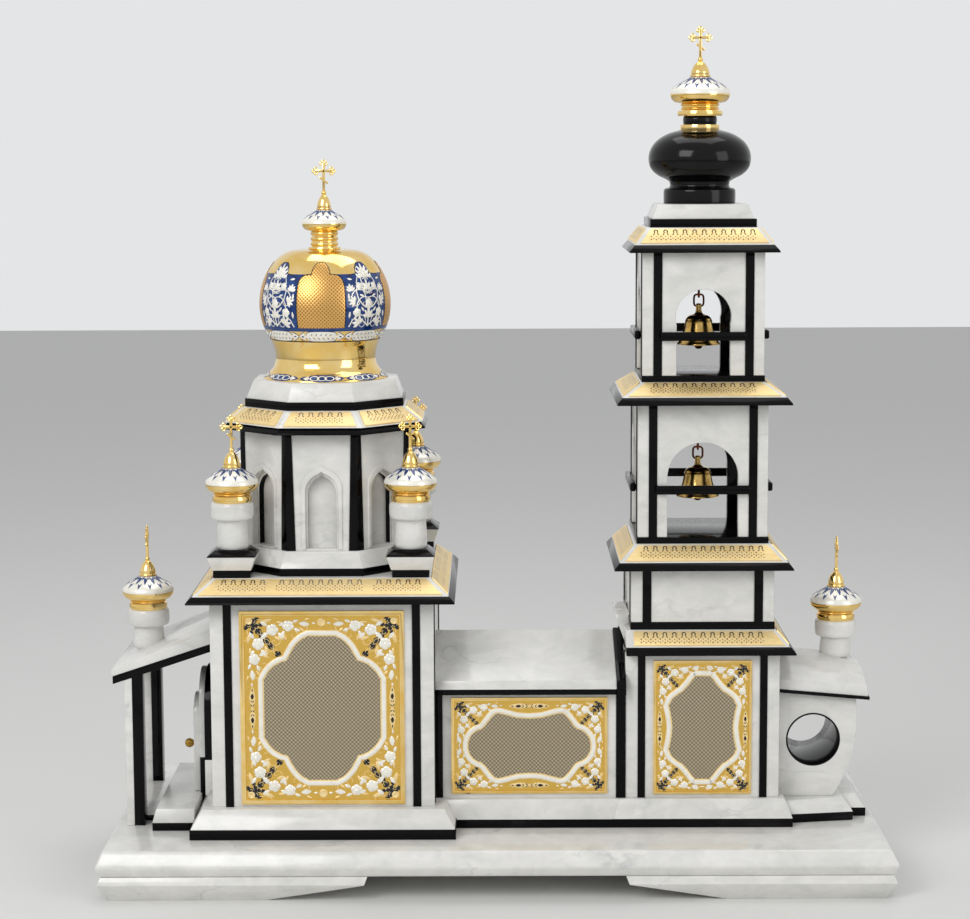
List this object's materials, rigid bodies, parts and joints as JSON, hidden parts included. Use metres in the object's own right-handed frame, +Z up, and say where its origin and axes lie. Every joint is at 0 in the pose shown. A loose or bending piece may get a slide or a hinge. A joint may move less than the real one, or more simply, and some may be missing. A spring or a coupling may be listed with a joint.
{
  "type": "steeple clock",
  "caption": "Tabletop steeple-clock case shaped as a domed church with a bell tower, in marble, black stone and gilt metal, with hanging bells and a hinged door.",
  "frame": {"origin": "middle of the base at the height of the feet's soles", "axes": "+Z up, +X to the tower's end, +Y to the rear, so the front faces -Y"},
  "size_m": [0.624, 0.283, 0.6762],
  "materials": {
    "white_marble": "polished",
    "black_stone": "polished",
    "enamelled_gilt": "polished",
    "polished_gilt": "polished",
    "engraved_gilt": "satin",
    "bell_brass": "polished",
    "copper_wire": "polished",
    "steel_rod": "satin"
  },
  "bodies": {
    "root": {"base_slab": "white_marble", "base_feet": "white_marble", "foot_strips": "black_stone", "nave_plinth": "white_marble", "refectory_plinth": "white_marble", "tower_plinth": "white_marble", "apse_plinth": "white_marble", "nave_walls": "white_marble", "nave_eave": "black_stone", "nave_roof": "white_marble", "drum_plinth": "white_marble", "drum_walls": "white_marble", "drum_eave": "black_stone", "drum_roof": "white_marble", "dome_seat": "white_marble", "dome_skirt": "enamelled_gilt", "dome_bulb": "enamelled_gilt", "finials": "enamelled_gilt", "crosses": "polished_gilt", "turret_pedestals": "white_marble", "turret_shafts": "white_marble", "turret_onions": "enamelled_gilt", "refectory_walls": "white_marble", "refectory_end_plates": "black_stone", "refectory_roof": "white_marble", "wing_eaves": "black_stone", "tower_stage_1": "white_marble", "tower_stage_2": "white_marble", "lower_belfry": "white_marble", "upper_belfry": "white_marble", "black_linings": "black_stone", "corner_strips": "black_stone", "ornament_panels": "engraved_gilt", "roof_plates": "engraved_gilt", "black_bands": "black_stone", "tower_eaves": "black_stone", "tower_roofs": "white_marble", "belfry_rails": "black_stone", "tower_cap": "white_marble", "tower_dome": "black_stone", "keel_gable": "white_marble", "bell_hooks": "copper_wire", "apse_walls": "white_marble", "apse_roof": "white_marble", "porch_steps": "white_marble", "porch_posts": "white_marble", "porch_roof": "white_marble", "portal_black": "black_stone", "portal_marble": "white_marble", "door_pintles": "bell_brass", "tie_rod": "steel_rod"},
    "lower_link": {"lower_link": "copper_wire"},
    "lower_bell": {"lower_bell": "bell_brass"},
    "lower_clapper": {"lower_clapper": "bell_brass"},
    "upper_link": {"upper_link": "copper_wire"},
    "upper_bell": {"upper_bell": "bell_brass"},
    "upper_clapper": {"upper_clapper": "bell_brass"},
    "door": {"door_leaf": "white_marble", "door_straps": "bell_brass", "door_knob": "bell_brass"}
  },
  "joints": [
    {"name": "lower_link_swing", "type": "hinge", "parent": "root", "child": "lower_link", "pos_m": [0.165, 0, 0.3364], "axis": [0, 1, 0], "range_deg": [-25, 25]},
    {"name": "lower_bell_swing", "type": "hinge", "parent": "lower_link", "child": "lower_bell", "pos_m": [0.165, 0, 0.3289], "axis": [1, 0, 0], "range_deg": [-25, 25]},
    {"name": "lower_clapper_swing", "type": "hinge", "parent": "lower_bell", "child": "lower_clapper", "pos_m": [0.165, 0, 0.31682], "axis": [1, 0, 0], "range_deg": [-30, 30]},
    {"name": "upper_link_swing", "type": "hinge", "parent": "root", "child": "upper_link", "pos_m": [0.165, 0, 0.4603], "axis": [0, 1, 0], "range_deg": [-25, 25]},
    {"name": "upper_bell_swing", "type": "hinge", "parent": "upper_link", "child": "upper_bell", "pos_m": [0.165, 0, 0.4528], "axis": [1, 0, 0], "range_deg": [-25, 25]},
    {"name": "upper_clapper_swing", "type": "hinge", "parent": "upper_bell", "child": "upper_clapper", "pos_m": [0.165, 0, 0.44072], "axis": [1, 0, 0], "range_deg": [-30, 30]},
    {"name": "door_swing", "type": "hinge", "parent": "root", "child": "door", "pos_m": [-0.2452, 0.0213, 0.0577], "axis": [0, 0, 1], "range_deg": [-95, 0]}
  ]
}
